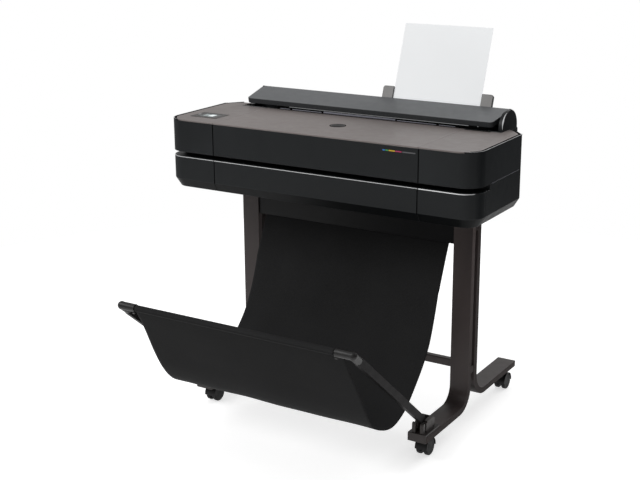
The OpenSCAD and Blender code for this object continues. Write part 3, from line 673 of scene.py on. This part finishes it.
def make_side_highlight_lines():
    """Painted highlight: a thin pale line along the lower edge of each upper cover's flat side.
    """
    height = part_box("upper_cover_right")[0].z
    corners = ((-0.4, 1.1), (0.15, 1.1), (-0.4, 0.3), (0.15, 0.3))
    for label, side in (("left", -1), ("right", 1)):
        low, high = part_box("upper_cover_" + label)
        x = high.x if side > 0 else low.x
        stations = [[(x + side * (out * MM), y, height + up * MM) for out, up in corners]
                    for y in (FRONT_Y + 0.096, high.y - 12 * MM)]
        band("side_highlight_line_" + label, stations, "pale_ledge_and_highlight")


def make_seam_lines():
    """Dark shut lines beside the seams of the front, each on the fixed part."""
    low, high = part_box("lower_front_cover")
    chamfer_top, chamfer_in = 703 * MM, 18 * MM
    upper = [(0, high.z + 15.5 * MM), (0, LID_Z - 4.8 * MM)]
    lower = [(chamfer_in, low.z + 0.5 * MM), (0, chamfer_top), (0, high.z - 1.6 * MM)]
    seam = SEAM_X + 0.5 * MM
    out, half = 1.5 * MM, 1.1 * MM
    for name, x, points in (
        ("seam_line_upper_left", -seam - out, upper),
        ("seam_line_upper_right", seam + out, upper),
        ("seam_line_lower_left", -seam + out, lower),
        ("seam_line_lower_right", seam - out, lower),
    ):
        band(name, [[(at, FRONT_Y + y + depth, z) for depth in (-0.12 * MM, 0.4 * MM)
                     for at in (x - half, x + half)] for y, z in points], "matt_black")


def make_arch_rim_highlight():
    """Painted highlight: a pale crescent on the front of the right arch's outer rim."""
    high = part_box("end_arches")[1]
    radius = 50 * MM
    centre_y, centre_z = FRONT_Y + 0.349, high.z - radius
    right = high.x - 1.6 * MM
    steps = 24
    stations = []
    for k in range(steps + 1):
        share = k / steps
        a = math.radians(2 + 64 * share)
        width = 3.2 * MM * math.sin(math.pi * share) ** 0.7 + 0.2 * MM
        stations.append([(x, centre_y - r * math.cos(a), centre_z + r * math.sin(a))
                         for r in (radius - 0.2 * MM, radius + 0.15 * MM)
                         for x in (right - width, right)])
    rim = band("arch_rim_highlight", stations, "silver_painted_highlight", smooth=True)
    rim.data.set_sharp_from_angle(angle=SHARP)


def lid_plate(name, across, behind, base_y, radius, heights, body=ROOT, finish="matt_black",
              slot="charcoal_plastic", edge=0.1, steps=3):
    """Thin plate by the lid: X across, Y behind base_y and heights over the lid, in mm."""
    outline = rounded_rectangle(across[0] * MM, base_y + behind[0] * MM, across[1] * MM,
                                base_y + behind[1] * MM, radius * MM, steps)
    low, high = (LID_Z + height * MM for height in heights)
    prism(name, outline, low, high, slot, body, finish, edge * MM)


def make_roll_bay():
    """Pale ribs in the gap behind the lid, with a black strip in front and a black curtain behind
    them as painted shade.
    """
    bay_y = LID_BACK_Y + 3.2 * MM
    ribs = ((-290, -253, 3.8), (-245, -140, 4.4), (-133, 112, 7.0), (118, 245, 4.0),
            (254, 305, 3.6))
    for i, (x0, x1, top) in enumerate(ribs):
        lid_plate("bay_ledge_%d" % i, (x0, x1), (0, 1.2), bay_y, 0.5, (-0.3, top),
                  finish="pale_ledge_and_highlight", edge=0.4)
    # Painted shade: a black strip and a black curtain darken the gap around the ribs.
    lid_plate("bay_painted_shade_strip", (-300, 333), (-0.7, -0.1), bay_y, 0.2, (-0.3, 2.0))
    lid_plate("bay_painted_shade_curtain", (-300, 404), (4.0, 4.8), bay_y, 0.3, (-0.3, 8.2))


def make_lid_rear_shade():
    """Painted shade: a black strip along the lid's rear edge, and a painted shadow as a black pad
    on the fixed end beside it.
    """
    lid_plate("lid_rear_painted_shade", (-322, 331), (-3.2, -1.2), LID_BACK_Y, 0.6, (-0.2, 0.3), body=LID,
              slot="black_plastic")
    lid_plate("lid_end_painted_shadow_right", (338, 418), (-8.0, -1.2), LID_BACK_Y, 3.0, (-0.2, 0.3), steps=6)


def make_lid_groove_and_highlight():
    """Dark groove along the lid's sides, and a painted highlight as a thin pale rim on the end
    covers outside it.
    """
    finish_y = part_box("lid_ends")[1].y - 0.040

    def line(name, side, inset, width, low, high, start, finish):
        angles = np.linspace(math.radians(start), math.radians(90), 12)
        points, outward = round_corner(side, inset, angles, LID_Z)
        points.append((side * (HALF_WIDTH - inset), finish_y, LID_Z))
        outward.append((side, 0, 0))
        section = [(0, low), (0, high), (-width, high), (-width, low)]
        swept(name, points, outward, section, ROOT, finish)

    for label, side in (("right", 1), ("left", -1)):
        line("lid_groove_" + label, side, 5.0 * MM, 4.4 * MM, -0.4 * MM, 0.15 * MM, 34,
             "matt_black")
        # Painted highlight along the end covers' rim.
        line("lid_rim_highlight_" + label, side, 0.6 * MM, 1.6 * MM, -0.4 * MM, 0.2 * MM, 30,
             "silver_painted_highlight")


def make_badge():
    """Plain round badge on the lid, left blank."""
    for name, radius, high, finish in (
        ("badge_ring", 24.0, 0.5, "matt_black"),
        ("badge_inlay", 21.0, 0.6, "bezel"),
        ("badge_face", 18.5, 0.8, "black_plastic"),
    ):
        outline = disc_outline(0.0, FRONT_Y + 0.150, radius * MM)
        prism(name, outline, LID_Z, LID_Z + high * MM, "black_plastic", LID, finish)


def make_stripe():
    """Short row of plain colour bars on the window's front, near the right seam."""
    upright = Matrix.Rotation(math.radians(90), 4, "X")
    place = Matrix.Translation((0, FRONT_Y, LID_Z - 18 * MM)) @ upright
    for name, x0, x1 in (
        ("stripe_blue", 228, 236),
        ("stripe_green", 237, 246),
        ("stripe_yellow", 247, 266),
        ("stripe_magenta", 267, 286),
        ("stripe_grey", 288, 327),
    ):
        outline = rounded_rectangle(x0 * MM, -0.0016, x1 * MM, 0.0016, 0.0012)
        bar = prism(name, outline, 0.0, 0.25 * MM, "charcoal_plastic", None, name, 0.08 * MM)
        bar.data.transform(place)
        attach(bar, BODY_OF["window_front"])


def make_display():
    """Generic screen contents: a header bar, two tiles and a footer bar."""
    lo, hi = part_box("display_screen")
    width, depth = hi.x - lo.x, hi.y - lo.y
    # Each tile's left, front, right and rear as shares of the screen
    for name, x0, y0, x1, y1, finish in (
        ("screen_header", 0.10, 0.84, 0.80, 0.90, "screen_dark"),
        ("screen_tile_left", 0.16, 0.22, 0.44, 0.76, "screen_grey"),
        ("screen_tile_right", 0.48, 0.22, 0.80, 0.76, "screen_pale"),
        ("screen_footer", 0.10, 0.08, 0.80, 0.14, "screen_dark"),
    ):
        outline = rounded_rectangle(lo.x + x0 * width, lo.y + y0 * depth,
                                    lo.x + x1 * width, lo.y + y1 * depth, 0.0012)
        prism(name, outline, hi.z, hi.z + 0.12 * MM, "screen", ROOT, finish, edge=0)


make_slot_lip_highlight()
make_side_highlight_lines()
make_seam_lines()
make_arch_rim_highlight()
make_roll_bay()
make_lid_rear_shade()
make_lid_groove_and_highlight()
make_badge()
make_stripe()
make_display()


# ---------------------------------------------------------------- stage and light

FLOOR_RADIUS = 2.3


def make_stage():
    """Plain pale floor, lit from within so that it runs into the white surround."""
    rim = [(x, y, 0.0) for x, y in disc_outline(0, 0, FLOOR_RADIUS, 96)]
    mesh = bpy.data.meshes.new("floor")
    mesh.from_pydata(rim, [], [tuple(range(len(rim)))])
    floor = bpy.data.objects.new("floor", mesh)
    bpy.context.scene.collection.objects.link(floor)
    material = bpy.data.materials.new("floor")
    material.use_nodes = True
    shader = material.node_tree.nodes["Principled BSDF"]
    shader.inputs["Base Color"].default_value = (0.80, 0.80, 0.80, 1)
    shader.inputs["Emission Color"].default_value = (1, 1, 1, 1)
    shader.inputs["Emission Strength"].default_value = 0.62
    shader.inputs["Roughness"].default_value = 0.9
    shader.inputs["Specular IOR Level"].default_value = 0.0
    mesh.materials.append(material)


def area_light(name, place, target, size, power):
    data = bpy.data.lights.new(name, "AREA")
    data.shape = "RECTANGLE"
    data.size, data.size_y = size
    data.energy = power
    light = bpy.data.objects.new(name, data)
    bpy.context.scene.collection.objects.link(light)
    light.location = place
    light.rotation_mode = "QUATERNION"
    light.rotation_quaternion = (Vector(target) - Vector(place)).to_track_quat("-Z", "Y")


def make_world():
    """A white surround that lights softly, less so from below and from the right."""
    world = bpy.data.worlds.new("studio")
    bpy.context.scene.world = world
    world.use_nodes = True
    nodes, link = world.node_tree.nodes, world.node_tree.links.new
    toward = nodes.new("ShaderNodeSeparateXYZ")
    link(nodes.new("ShaderNodeTexCoord").outputs["Generated"], toward.inputs["Vector"])
    strength = nodes.new("ShaderNodeMath")
    strength.operation = "MULTIPLY"
    for k, (axis, span, levels) in enumerate((("Z", (-0.35, 0.25), (0.10, 0.56)),
                                              ("X", (0.10, 0.85), (1.0, 0.40)))):
        fade = nodes.new("ShaderNodeMapRange")
        for socket, value in zip(("From Min", "From Max", "To Min", "To Max"), span + levels):
            fade.inputs[socket].default_value = value
        link(toward.outputs[axis], fade.inputs["Value"])
        link(fade.outputs["Result"], strength.inputs[k])
    lights = nodes["Background"]
    lights.inputs["Color"].default_value = (1, 1, 1, 1)
    link(strength.outputs["Value"], lights.inputs["Strength"])
    shows = nodes.new("ShaderNodeBackground")
    shows.inputs["Color"].default_value = (1, 1, 1, 1)
    shows.inputs["Strength"].default_value = 1.0
    mix = nodes.new("ShaderNodeMixShader")
    link(nodes.new("ShaderNodeLightPath").outputs["Is Camera Ray"], mix.inputs["Fac"])
    link(lights.outputs["Background"], mix.inputs[1])
    link(shows.outputs["Background"], mix.inputs[2])
    link(mix.outputs["Shader"], nodes["World Output"].inputs["Surface"])


make_stage()
make_world()
area_light("key", (-1.6, -2.4, 3.2), (0, 0, 0.6), (2.0, 2.0), 55)
area_light("rim", (0.8, 3.0, 2.8), (0, 0, 0.8), (3.0, 1.2), 45)
bpy.context.scene.view_settings.view_transform = "Standard"
